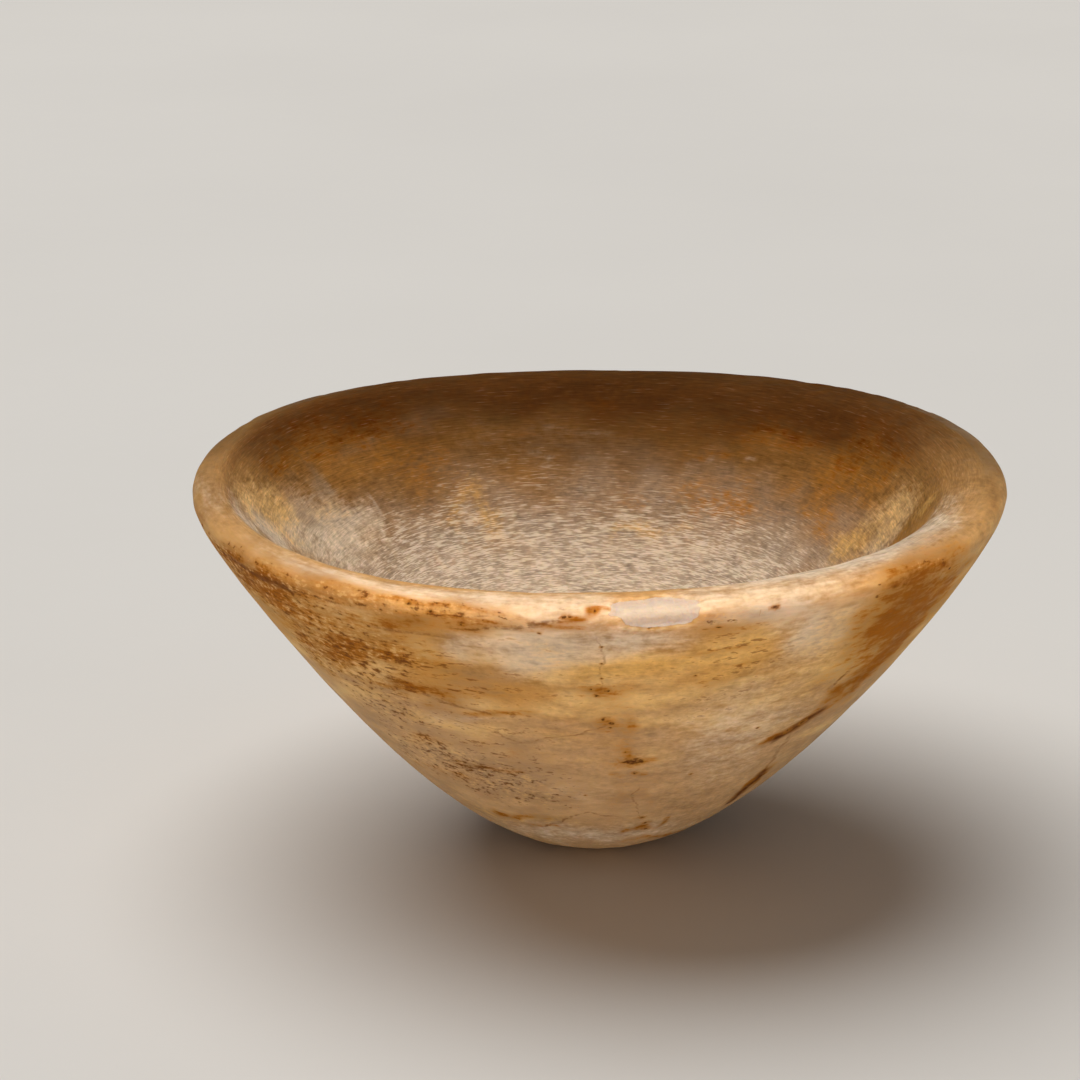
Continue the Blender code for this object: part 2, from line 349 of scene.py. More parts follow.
# Iron spots on the outside: azimuth in degrees, height in mm, radius in mm. A point that no spot
# reaches is set FAR radii away. A spot's reach allows for the surface's points, which lie no more than
# POINT_SPACING mm apart, and a spot is flatter than a ball by SPOT_FLATNESS.
FAR = 9.0
POINT_SPACING = 1.4
SPOT_FLATNESS = 1.35
IRON_SPOTS = (
    (-83.7, 28.4, 0.95), (-81.6, 28.3, 0.45), (-82.4, 25.6, 0.3), (-85.3, 30.7, 0.21),
    (-88.9, 38.2, 0.5), (-88.4, 37.4, 0.34), (-90.8, 43.6, 0.34), (-89.3, 44.6, 0.29),
    (-91.6, 44.9, 0.22), (-88.3, 36.4, 0.19), (-73, 9.6, 0.44), (-77, 13.4, 0.34),
    (-75, 11.6, 0.37), (-90.2, 47.2, 0.16), (-90.4, 50.3, 0.16), (-90.3, 53.6, 0.19),
    (-94.8, 59.2, 0.3), (-93.8, 59.3, 0.24), (-91.2, 60.2, 0.3), (-83.3, 57, 0.3),
    (-98, 56.2, 0.21), (-67.9, 58.6, 0.34), (-74.7, 56.2, 0.22), (-157.3, 56.6, 0.48),
    (-152, 57.5, 0.4), (-147.5, 58.4, 0.34), (-159, 57.6, 0.36), (-162, 58.6, 0.28),
    (-35, 56.8, 0.32), (-76.5, 47, 0.19), (-115.9, 59.7, 0.29), (-112.7, 58.9, 0.27),
    (-70, 24, 0.21), (-108.5, 57, 0.21), (-60, 33, 0.18), (-93, 20, 0.16), (-51.2, 30.2, 0.45),
    (-48.6, 31.2, 0.4),
)

# Cracks and veins in the outside, each the trace of a plane square to the surface: azimuth and height
# of its two ends, half width in mm, darkness. The fades, in mm, say how far past its ends, from its
# plane and over or under its ends a crack is gone, and over what length it fades.
END_FADE = (0.8, 1.6)
PLANE_FADE = (4.0, 2.0)
LEVEL_FADE = (2.5, 1.5)
CRACKS = (
    (-119, 36.4, -104.8, 32.9, 0.12, 0.55), (-105.5, 32.8, -93.5, 35.2, 0.12, 0.6),
    (-94.2, 35, -89.3, 37.4, 0.13, 0.6), (-108.2, 10.1, -100, 13.6, 0.16, 0.8),
    (-100.5, 13.4, -92, 14.9, 0.14, 0.65), (-93, 14.8, -84, 13.7, 0.12, 0.55),
    (-81, 22, -78.5, 13.5, 0.1, 0.45), (-90, 55.5, -89.7, 44.5, 0.1, 0.5),
    (-49.2, 38.6, -45, 42.2, 0.26, 0.9), (-54.2, 28.8, -44, 33.2, 0.75, 1),
    (-48.8, 29.4, -45.4, 19, 0.28, 0.6), (-45.2, 20, -43, 11, 0.8, 0.95),
    (-134.5, 46.5, -121, 41.2, 0.3, 0.6), (-122.5, 41.6, -107.6, 38, 0.28, 0.65),
    (-110, 56, -101, 56.7, 0.2, 0.6), (-101.5, 56.6, -94, 59.2, 0.26, 0.7),
    (-113.5, 58.3, -104.5, 58.6, 0.16, 0.55), (-122, 53.7, -110, 55, 0.22, 0.6),
    (-157, 57.2, -147, 57.6, 0.4, 0.8), (-147.5, 57.6, -137, 57, 0.45, 0.8),
    (-138, 57.2, -127, 56.4, 0.26, 0.6),
)

# The stone's noises: the grain's scale; how the fibres, the streaks and the two sets of tool dashes
# stretch the pattern space round the cup and along it, after each dash set's slant
GRAIN_SCALE = 760.0
FIBRES = (34.0, 34.0, 105.0)
STREAKS = (11.0, 11.0, 46.0)
DASH_SETS = ((1.4, (15.0, 15.0, 310.0)), (-2.4, (19.0, 19.0, 280.0)))

# The fine height of grain, fibres, pits and scars, in mm
GRAIN_RELIEF = 0.05
FIBRE_RELIEF = 0.05
PIT_RELIEF = -0.10
SCAR_RELIEF = 0.25

# How light meets the stone
SURFACE = {
    "IOR": 1.52,
    "Specular IOR Level": 0.015,
    "Subsurface Weight": 0.75,
    "Subsurface Radius": (1.0, 0.55, 0.25),
    "Subsurface Scale": 0.007,
}

# Places of a colour mix's sockets: its factor, its two colours and its result
MIX_FACTOR, MIX_FIRST, MIX_SECOND, MIX_RESULT = 0, 6, 7, 2

# The floor and the lights: places and sizes in metres, directions, and colours
FLOOR_HALF = 6.0
FLOOR_POINTS = 13
POOL_PLACE = Vector((0.0, -0.2765, 0.5035))
POOL_TARGET = Vector((0.0, -0.042, 0.062))
POOL_BLEND = 0.87
POOL_SOFTNESS = 0.025
POOL_COLOUR = (1.0, 0.95, 0.87)
FILL_PLACE = (0.02, -0.42, 0.025)
FILL_WAY = (0.0, 1.0, 0.05)
FILL_SIZE = (0.60, 0.05)
FILL_COLOUR = (1.0, 0.94, 0.85)
WASH_PLACE = (0.0, 0.0, 1.0)
WASH_WAY = (0.25, -0.30, -1.0)
WASH_SPREAD = math.radians(60.0)
SKY_COLOUR = (1.0, 0.98, 0.95)
SENSOR_WIDTH = 36.0


# The form


def bezier(points, count):
    """A cubic curve through the first and last of four (radius, height) points, at even steps."""
    t = np.linspace(0.0, 1.0, count)[:, None]
    s = 1.0 - t
    shares = (s**3, 3 * s**2 * t, 3 * s * t**2, t**3)
    across = sum(share * point[0] for share, point in zip(shares, points))
    up = sum(share * point[1] for share, point in zip(shares, points))
    return across, up


def outer_wall(sizes):
    """(radius, height) up the outside: a cubic curve from the foot's edge to the widest point."""
    shoulder = sizes.height - sizes.lip_outer_drop
    under = sizes.underside_pull * (sizes.rim_radius - sizes.foot_radius)
    foot_pull = (
        sizes.foot_radius + under * math.cos(sizes.underside_angle),
        under * math.sin(sizes.underside_angle),
    )
    shoulder_pull = (sizes.rim_radius, shoulder * (1.0 - sizes.shoulder_pull))
    points = ((sizes.foot_radius, 0.0), foot_pull, shoulder_pull, (sizes.rim_radius, shoulder))
    return bezier(points, WALL_ROWS)


def outer_lip(sizes):
    """(radius, height) over the outer half of the lip: a quarter of a squared ellipse."""
    turn = np.linspace(0.0, math.pi / 2, LIP_OUTER_ROWS)[1:, None]
    power = 2.0 / sizes.lip_squareness
    inward = 1.0 - np.clip(np.cos(turn), 0.0, 1.0) ** power
    below = 1.0 - np.sin(turn) ** power
    across = sizes.rim_radius - sizes.lip_outer_width * inward
    return across, sizes.height - sizes.lip_outer_drop * below


def inner_lip(sizes, slope):
    """(radius, height) over the inner half of the lip: an ellipse's arc to the hollow's slope."""
    end = np.arctan(np.tan(slope) * sizes.lip_inner_width / sizes.lip_inner_drop)
    turn = np.linspace(0.0, 1.0, LIP_INNER_ROWS + 1)[1:, None] * end
    across = sizes.rim_radius - sizes.lip_outer_width - sizes.lip_inner_width * np.sin(turn)
    return across, sizes.height - sizes.lip_inner_drop * (1.0 - np.cos(turn))


def hollow_wall(sizes, radius, height, slope):
    """(radius, height) down the hollow: a cubic curve from its edge to the middle of its floor."""
    reach = sizes.inner_wall_pull * np.hypot(radius, height - sizes.floor_thickness)
    wall_pull = (radius - reach * np.cos(slope), height - reach * np.sin(slope))
    floor_pull = (sizes.floor_pull * radius, sizes.floor_thickness)
    points = ((radius, height), wall_pull, floor_pull, (0.0, sizes.floor_thickness))
    across, up = bezier(points, HOLLOW_ROWS + 1)
    return across[1:], up[1:]


def rim_wave(sizes, azimuth):
    """How far the rim rises above its mean height: a tilt, a saddle and a threefold wave."""
    tilt = sizes.tilt_rise * np.cos(azimuth - TILT_HIGH_AT)
    saddle = sizes.saddle_rise * np.cos(2 * (azimuth - SADDLE_HIGH_AT))
    triple = sizes.triple_rise * np.cos(3 * (azimuth - TRIPLE_HIGH_AT))
    return tilt + saddle + triple


def wrapped(angle):
    """The same angle between minus and plus half a turn."""
    return (angle + math.pi) % (2 * math.pi) - math.pi


def smooth(value):
    """0 below 0, 1 above 1, and the cubic 3v^2 - 2v^3 between."""
    v = np.clip(value, 0.0, 1.0)
    return v * v * (3.0 - 2.0 * v)


def faded(past, fade):
    """1 inside a mark, and 0 from where its fade ends."""
    end, length = fade
    return smooth((end - past) / length)


def spot_reach(radius):
    """How far round a spot its marks reach, in mm: past its halo and past the nearest points."""
    return max(5.0 * radius, 2.8 * radius + POINT_SPACING)


def sorted_apart(table, place, reach):
    """Sorts marks into few groups, so that no two of a group reach each other."""

    def apart(one, other):
        distance = np.linalg.norm(place(one) - place(other)) / MM
        return distance > reach(one) + reach(other) + POINT_SPACING

    groups = []
    for mark in table:
        for group in groups:
            if all(apart(mark, other) for other in group):
                group.append(mark)
                break
        else:
            groups.append([mark])
    return groups


class Skin:
    """The cup's surface as grids of rows by azimuth: position, radius, height and arc length in mm.

    The arc length runs along the section from the crest, positive down the outside and negative down
    the hollow. Height here is the section's own, before the rim's wave.
    """

    def __init__(self, sizes):
        self.sizes = sizes
        around = sizes.around
        self.azimuth = np.linspace(0.0, 2 * math.pi, around, endpoint=False)[None, :]
        slope = sizes.inner_slope + sizes.inner_slope_swing * np.cos(self.azimuth)
        edge = inner_lip(sizes, slope)
        parts = (
            outer_wall(sizes),
            outer_lip(sizes),
            edge,
            hollow_wall(sizes, edge[0][-1:], edge[1][-1:], slope),
        )
        self.radius, self.height = (
            np.vstack([np.broadcast_to(part[axis], (len(part[axis]), around)) for part in parts])
            for axis in (0, 1)
        )
        self.crest_row = WALL_ROWS + LIP_OUTER_ROWS - 2
        row = np.arange(len(self.radius))[:, None]
        self.into_hollow = np.clip((row - self.crest_row) / LIP_INNER_ROWS, 0.0, 1.0)
        self.arc = self.arc_length()
        self.is_outside = self.arc > 0.0
        self.place = self.placed()
        self.cut(self.relief())
        self.warp = (self.ripples(WARP_ROUND), self.ripples(WARP_ALONG))

    def arc_length(self):
        """Length along the section in mm, counted from the crest and negative into the hollow."""
        step = np.hypot(np.diff(self.radius, axis=0), np.diff(self.height, axis=0))
        run = np.vstack((np.zeros((1, step.shape[1])), np.cumsum(step, axis=0)))
        return (run[self.crest_row][None, :] - run) / MM

    def placed(self):
        """The rings set in space.

        Near the rim a ring swells in three lobes and follows the rim's wave. The outside leans towards
        +X as it rises, and the hollow is set back towards -X.
        """
        sizes = self.sizes
        above = (self.height - sizes.wave_start) / (sizes.height - sizes.wave_start)
        near_rim = np.clip(above, 0.0, 1.0) ** 2
        swell = sizes.out_of_round * np.cos(OUT_OF_ROUND_LOBES * (self.azimuth - math.pi))
        ring = self.radius + (self.radius / sizes.rim_radius) * near_rim * swell
        rise = np.clip(self.height / (sizes.height - sizes.lip_outer_drop), 0.0, 1.0)
        leaned = sizes.body_lean * (1.0 - (1.0 - rise) ** 2)
        lean = np.where(self.into_hollow > 0.0, sizes.body_lean, leaned)
        x = ring * np.cos(self.azimuth) + lean - sizes.hollow_offset * self.into_hollow
        y = ring * np.sin(self.azimuth)
        z = self.height + near_rim * rim_wave(sizes, self.azimuth)
        return np.stack((x, y, z), axis=-1)

    def outward(self):
        """Unit normals: the cross product of the steps round and along the section."""
        along = np.gradient(self.place, axis=0)
        around = np.roll(self.place, -1, axis=1) - np.roll(self.place, 1, axis=1)
        normal = np.cross(around, along)
        return normal / np.maximum(np.linalg.norm(normal, axis=-1, keepdims=True), 1e-12)

    def offsets(self, side, azimuth, height):
        """Distances in mm from a spot on the surface: round the cup, and down along the section."""
        across = wrapped(self.azimuth - math.radians(azimuth)) * self.radius / MM
        return across, self.arc - self.arc_at(side, height)

    def rows_of(self, side):
        """The rows of one side, ordered from low to high."""
        if side == OUT:
            return np.arange(self.crest_row + 1)
        return np.arange(len(self.radius) - 1, self.crest_row - 1, -1)

    def arc_at(self, side, height):
        """Arc length in mm at a height in mm, on the mean section of one side."""
        rows = self.rows_of(side)
        return np.interp(height * MM, self.height[rows].mean(axis=1), self.arc[rows].mean(axis=1))

    def spot(self, azimuth, height):
        """The point of the outside at an azimuth in degrees and a height in mm."""
        around = self.sizes.around
        line = self.place[:, int(round(math.radians(azimuth) / (2 * math.pi) * around)) % around]
        rows = self.rows_of(OUT)
        heights = self.height[rows].mean(axis=1)
        return np.array([np.interp(height * MM, heights, line[rows, axis]) for axis in range(3)])

    def ripple(self, seed, size, streak):
        """A smooth random field of about unit spread: plane waves whose lengths lie about `size` mm.

        It runs through space with the section unrolled, and `streak` draws it out round the cup.
        """
        random = np.random.default_rng(seed)
        way = random.normal(size=(RIPPLE_WAVES, 3))
        way = way / np.linalg.norm(way, axis=1, keepdims=True)
        length = size * random.uniform(0.6, 1.6, RIPPLE_WAVES)
        way = way * (2.0 * math.pi / length)[:, None]
        phase = random.uniform(0.0, 2.0 * math.pi, RIPPLE_WAVES)
        unrolled = self.wrap() * self.sizes.rim_radius / MM * (1.0 / streak, 1.0 / streak, 1.0)
        return np.cos(unrolled @ way.T + phase).sum(axis=-1) * math.sqrt(2.0 / RIPPLE_WAVES)

    def ripples(self, layers):
        """Ripples laid over each other, each by its amount."""
        return sum(share * self.ripple(*ripple) for share, *ripple in layers)

    def zone(self, side, azimuth, height, wide, tall, slant):
        """An ellipse's field: 0.5 to the power of d squared, with the surface rippled beforehand."""
        across, along = self.offsets(side, azimuth, height)
        across = across + self.warp[0]
        along = along + self.warp[1]
        turn = math.radians(slant)
        u = (across * math.cos(turn) + along * math.sin(turn)) / wide
        v = (along * math.cos(turn) - across * math.sin(turn)) / tall
        return 0.5 ** np.minimum(u * u + v * v, 40.0)

    def zones(self, table):
        """Many ellipses as one field: one minus the product of what each leaves."""
        left = np.ones_like(self.arc)
        for side, rows in table.items():
            for *ellipse, strength in rows:
                left = left * (1.0 - np.minimum(strength * self.zone(side, *ellipse), 1.0))
        return 1.0 - left

    def clouds(self, seed):
        """Wide random clouds for the plainer side: a drawn-out ripple, faded out over the front."""
        from_middle = np.abs(wrapped(self.azimuth - math.radians(VISIBLE_MIDDLE)))
        hidden = (from_middle - math.radians(VISIBLE_HALF)) / math.radians(VISIBLE_FADE)
        shown = smooth(hidden) * self.is_outside
        cloud = smooth(CLOUD_SHARE * self.ripple(seed, CLOUD_LENGTH, CLOUD_STREAK))
        return CLOUD_STRENGTH * cloud * shown

    def spot_marks(self, group):
        """For each point, the way from the spot that reaches it, in units of the spot's radius."""
        marks = np.full(self.place.shape, FAR)
        for azimuth, height, radius in group:
            away = (self.place - self.spot(azimuth, height)) / MM
            near = np.linalg.norm(away, axis=-1)
            scaled = away * (1.0 / radius, 1.0 / radius, SPOT_FLATNESS / radius)
            close = (near < spot_reach(radius)) & self.is_outside
            marks[close] = scaled[close]
        return marks

    def crack_span(self, crack):
        """The middle of a crack, the unit vector along it and half its length in metres."""
        start = self.spot(*crack[:2])
        end = self.spot(*crack[2:4])
        length = np.linalg.norm(end - start)
        return (start + end) / 2.0, (end - start) / length, length / 2.0

    def crack_marks(self, group):
        """For each point, the offset in mm from the nearest crack's plane, its strength and its width.

        A crack is the trace of the plane through its two ends and square to the surface. Its strength
        fades out past its ends and away from the plane.
        """
        marks = np.zeros(self.place.shape)
        nearest = np.full(self.arc.shape, np.inf)
        for crack in group:
            _, height_a, _, height_b, half_width, dark = crack
            middle, chord, half = self.crack_span(crack)
            facing = np.array((middle[0], middle[1], -math.hypot(middle[0], middle[1])))
            square = np.cross(chord, facing)
            square = square / np.linalg.norm(square)
            away = (self.place - middle) / MM
            offset = away @ square
            window = faded(np.abs(away @ chord) - half / MM, END_FADE)
            window = window * faded(np.abs(offset), PLANE_FADE)
            low, high = sorted((self.arc_at(OUT, height_a), self.arc_at(OUT, height_b)))
            window = window * faded(low - self.arc, LEVEL_FADE) * faded(self.arc - high, LEVEL_FADE)
            strength = dark * window * self.is_outside
            distance = np.linalg.norm(away, axis=-1) - half / MM
            closer = distance < nearest
            nearest = np.where(closer, distance, nearest)
            found = np.stack((offset, strength, np.full_like(offset, half_width)), axis=-1)
            marks = np.where(closer[..., None], found, marks)
        return marks

    def facets(self):
        """Depth in mm of soft facets: a sum of slanting waves round the cup, each of random phase."""
        random = np.random.default_rng(FACET_SEED)
        total = np.zeros_like(self.arc)
        for round_waves, up_waves, depth in FACETS:
            phase = random.uniform(0.0, 2 * math.pi)
            wave = np.cos(round_waves * self.azimuth + up_waves * self.arc / FACET_RISE + phase)
            total = total + depth * (0.5 + 0.5 * wave)
        return total

    def flakes(self):
        """Depth in mm of the flake scars: flat-bottomed dishes whose edge wanders."""
        total = np.zeros_like(self.arc)
        wander = self.ripples(FLAKE_EDGE)
        for azimuth, wide, tall, below, depth in FLAKES:
            across = wrapped(self.azimuth - math.radians(azimuth)) * self.sizes.rim_radius / MM / wide
            along = (self.arc - below) / tall
            inner = 1.0 + wander - np.abs(across) ** FLAKE_POWER - np.abs(along) ** FLAKE_POWER
            total = total + depth * smooth(FLAKE_STEEPNESS * inner) * (np.abs(across) < 2.0)
        return total

    def nicks(self):
        """Depth in mm of the nicks along the rim: small round dishes at random places on the lip."""
        random = np.random.default_rng(NICK_SEED)
        total = np.zeros_like(self.arc)
        for _ in range(NICKS):
            azimuth = random.uniform(0.0, 2 * math.pi)
            centre = random.normal(*NICK_PLACE)
            wide = random.uniform(*NICK_WIDTH)
            depth = random.uniform(*NICK_DEPTH)
            behind = smooth(0.5 + 0.9 * math.sin(azimuth))
            share = NICK_FRONT_SHARE + (1.0 - NICK_FRONT_SHARE) * behind
            across = wrapped(self.azimuth - azimuth) * self.radius / MM / wide
            along = (self.arc - centre) / (NICK_HEIGHT * wide)
            dish = np.clip(1.0 - across**2 - along**2, 0.0, 1.0)
            total = np.maximum(total, share * depth * dish)
        return total

    def relief(self):
        """Depth in mm cut into the smooth form, never negative, so that it stays in the solid's box."""
        return self.facets() + self.flakes() + self.nicks()

    def cut(self, depth):
        """Moves the surface inwards along its normals. The floor's middle and the foot's edge stay."""
        keep = smooth(self.height / (KEEP_HEIGHT * MM)) * smooth(self.radius / (KEEP_RADIUS * MM))
        self.place = self.place - self.outward() * (depth * keep * MM)[..., None]

    def fields(self):
        """What the stone's material reads at each point, by name."""
        found = {name: self.zones(table) for name, table in ZONES.items()}
        for name, seed in CLOUD_SEEDS.items():
            found[name] = np.maximum(found[name], self.clouds(seed))
        return {
            **found,
            "inside": smooth(0.5 - self.arc / INSIDE_FADE),
            "lip": 0.5 ** ((self.arc / LIP_HALF) ** 2),
            "flaked": self.flakes() / FLAKES[0][4],
            "cloud": 0.5 + self.ripples(CLOUD),
            "tide": 0.5 + self.ripples(TIDE),
        }

    def marks(self):
        """The marks of spots and cracks by name, in groups of spots or cracks that stand apart."""
        spots = sorted_apart(IRON_SPOTS, lambda m: self.spot(*m[:2]), lambda m: spot_reach(m[2]))
        cracks = sorted_apart(
            CRACKS, lambda m: self.crack_span(m)[0], lambda m: self.crack_span(m)[2] / MM
        )
        found = {f"spots_{i}": self.spot_marks(group) for i, group in enumerate(spots)}
        found.update({f"cracks_{i}": self.crack_marks(group) for i, group in enumerate(cracks)})
        return found

    def wrap(self):
        """A seamless pattern space: the azimuth's cosine and sine, and arc over rim radius."""
        azimuth = np.broadcast_to(self.azimuth, self.arc.shape)
        rise = self.arc * MM / self.sizes.rim_radius
        return np.stack((np.cos(azimuth), np.sin(azimuth), rise), axis=-1)


def closed_mesh(name, skin):
    """A closed mesh: quads between rings, and a fan inside the first ring and the last."""
    rings = skin.place
    around = rings.shape[1]
    floor = rings[-1].mean(axis=0)
    foot = rings[0].mean(axis=0)
    points = np.vstack((rings[:-1].reshape(-1, 3), floor, foot))
    rows = len(rings) - 1
    step = np.arange(around)
    following = (step + 1) % around
    low = (np.arange(rows - 1) * around)[:, None]
    corners = (low + step, low + following, low + around + following, low + around + step)
    quads = np.stack(corners, axis=-1).reshape(-1, 4)
    top = (rows - 1) * around
    floor_fan = np.stack((top + step, top + following, np.full(around, len(points) - 2)), axis=-1)
    foot_fan = np.stack((following, step, np.full(around, len(points) - 1)), axis=-1)
    mesh = bpy.data.meshes.new(name)
    mesh.from_pydata(points.tolist(), [], quads.tolist() + floor_fan.tolist() + foot_fan.tolist())
    mesh.shade_smooth()
    return mesh


def ring_values(grid):
    """A field's values in the mesh's order of points: all rings but the last, then floor and foot."""
    flat = grid[:-1].reshape(-1, *grid.shape[2:])
    return np.concatenate((flat, grid[-1:].mean(axis=1), grid[:1].mean(axis=1)))


def store_fields(mesh, skin):
    """Writes the skin's fields, marks and pattern space as attributes of the mesh's points.

    It gives the names of the marks, which the stone reads in groups.
    """
    for name, grid in skin.fields().items():
        attribute = mesh.attributes.new(name, "FLOAT", "POINT")
        attribute.data.foreach_set("value", ring_values(grid).astype(np.float32))
    marks = skin.marks()
    for name, grid in {"wrap": skin.wrap(), **marks}.items():
        attribute = mesh.attributes.new(name, "FLOAT_VECTOR", "POINT")
        attribute.data.foreach_set("vector", ring_values(grid).astype(np.float32).ravel())
    return list(marks)


# The stone


class Term:
    """A value in a material. A sum, a difference or a product of terms adds the node for it."""

    def __init__(self, recipe, socket):
        self.recipe = recipe
        self.socket = socket

    def __add__(self, other):
        return self.recipe.math("ADD", self, other)

    def __sub__(self, other):
        return self.recipe.math("SUBTRACT", self, other)

    def __rsub__(self, other):
        return self.recipe.math("SUBTRACT", other, self)

    def __mul__(self, other):
        return self.recipe.math("MULTIPLY", self, other)

    __radd__ = __add__


def opaque(colour):
    """A colour of three numbers with full opacity; a term stays as it is."""
    return colour if isinstance(colour, Term) else (*colour, 1.0)


class Recipe:
    """A material's nodes, added one call at a time."""

    def __init__(self, name):
        self.material = bpy.data.materials.new(name)
        self.material.use_nodes = True
        self.tree = self.material.node_tree
        self.shader = self.tree.nodes["Principled BSDF"]

    def feed(self, socket, value):
        """Links a socket, or sets its number."""
        if isinstance(value, Term):
            self.tree.links.new(value.socket, socket)
        else:
            socket.default_value = value

    def node(self, kind, inputs, output=0, **settings):
        """Adds a node, fills its inputs and gives one of its outputs."""
        node = self.tree.nodes.new(kind)
        for name, value in settings.items():
            setattr(node, name, value)
        for key, value in inputs.items():
            self.feed(node.inputs[key], value)
        return Term(self, node.outputs[output])

    def place(self):
        """Where the shaded point lies on the object, in metres."""
        return self.node("ShaderNodeTexCoord", {}, "Object")

    def field(self, name):
        """A number that the mesh's points hold."""
        return self.node("ShaderNodeAttribute", {}, "Fac", attribute_name=name)

    def mark(self, name):
        """A vector that the mesh's points hold."""
        return self.node("ShaderNodeAttribute", {}, "Vector", attribute_name=name)

    def parts(self, vector):
        """A vector's three numbers."""
        node = self.tree.nodes.new("ShaderNodeSeparateXYZ")
        self.feed(node.inputs[0], vector)
        return [Term(self, output) for output in node.outputs]

    def math(self, operation, first, second=0.0, third=0.0):
        """One sum on numbers."""
        return self.node("ShaderNodeMath", {0: first, 1: second, 2: third}, operation=operation)

    def vector(self, operation, first, second):
        """One sum on vectors."""
        return self.node("ShaderNodeVectorMath", {0: first, 1: second}, operation=operation)

    def ramp(self, value, low, high, to_low=0.0, to_high=1.0):
        """A smooth step from one value to another as the input goes from low to high."""
        inputs = {
            "Value": value, "From Min": low, "From Max": high, "To Min": to_low, "To Max": to_high,
        }
        return self.node("ShaderNodeMapRange", inputs, interpolation_type="SMOOTHSTEP")

    def noise(self, vector, scale, detail=3.0, roughness=0.55):
        """Cloudy noise about a half."""
        inputs = {"Vector": vector, "Scale": scale, "Detail": detail, "Roughness": roughness}
        return self.node("ShaderNodeTexNoise", inputs)

    def stretched(self, space, factors, detail, roughness):
        """Noise of unit scale in a space whose axes are multiplied by the factors."""
        return self.noise(self.vector("MULTIPLY", space, factors), 1.0, detail, roughness)

    def mix(self, factor, first, second, blend="MIX"):
        """One colour laid over another."""
        inputs = {MIX_FACTOR: factor, MIX_FIRST: opaque(first), MIX_SECOND: opaque(second)}
        return self.node("ShaderNodeMix", inputs, MIX_RESULT, data_type="RGBA", blend_type=blend)

    def sheared(self, wrap, arc, slant):
        """The pattern space turned about its axis in step with the arc, so that streaks slant."""
        inputs = {"Vector": wrap, "Angle": arc * slant}
        return self.node("ShaderNodeVectorRotate", inputs, rotation_type="Z_AXIS")


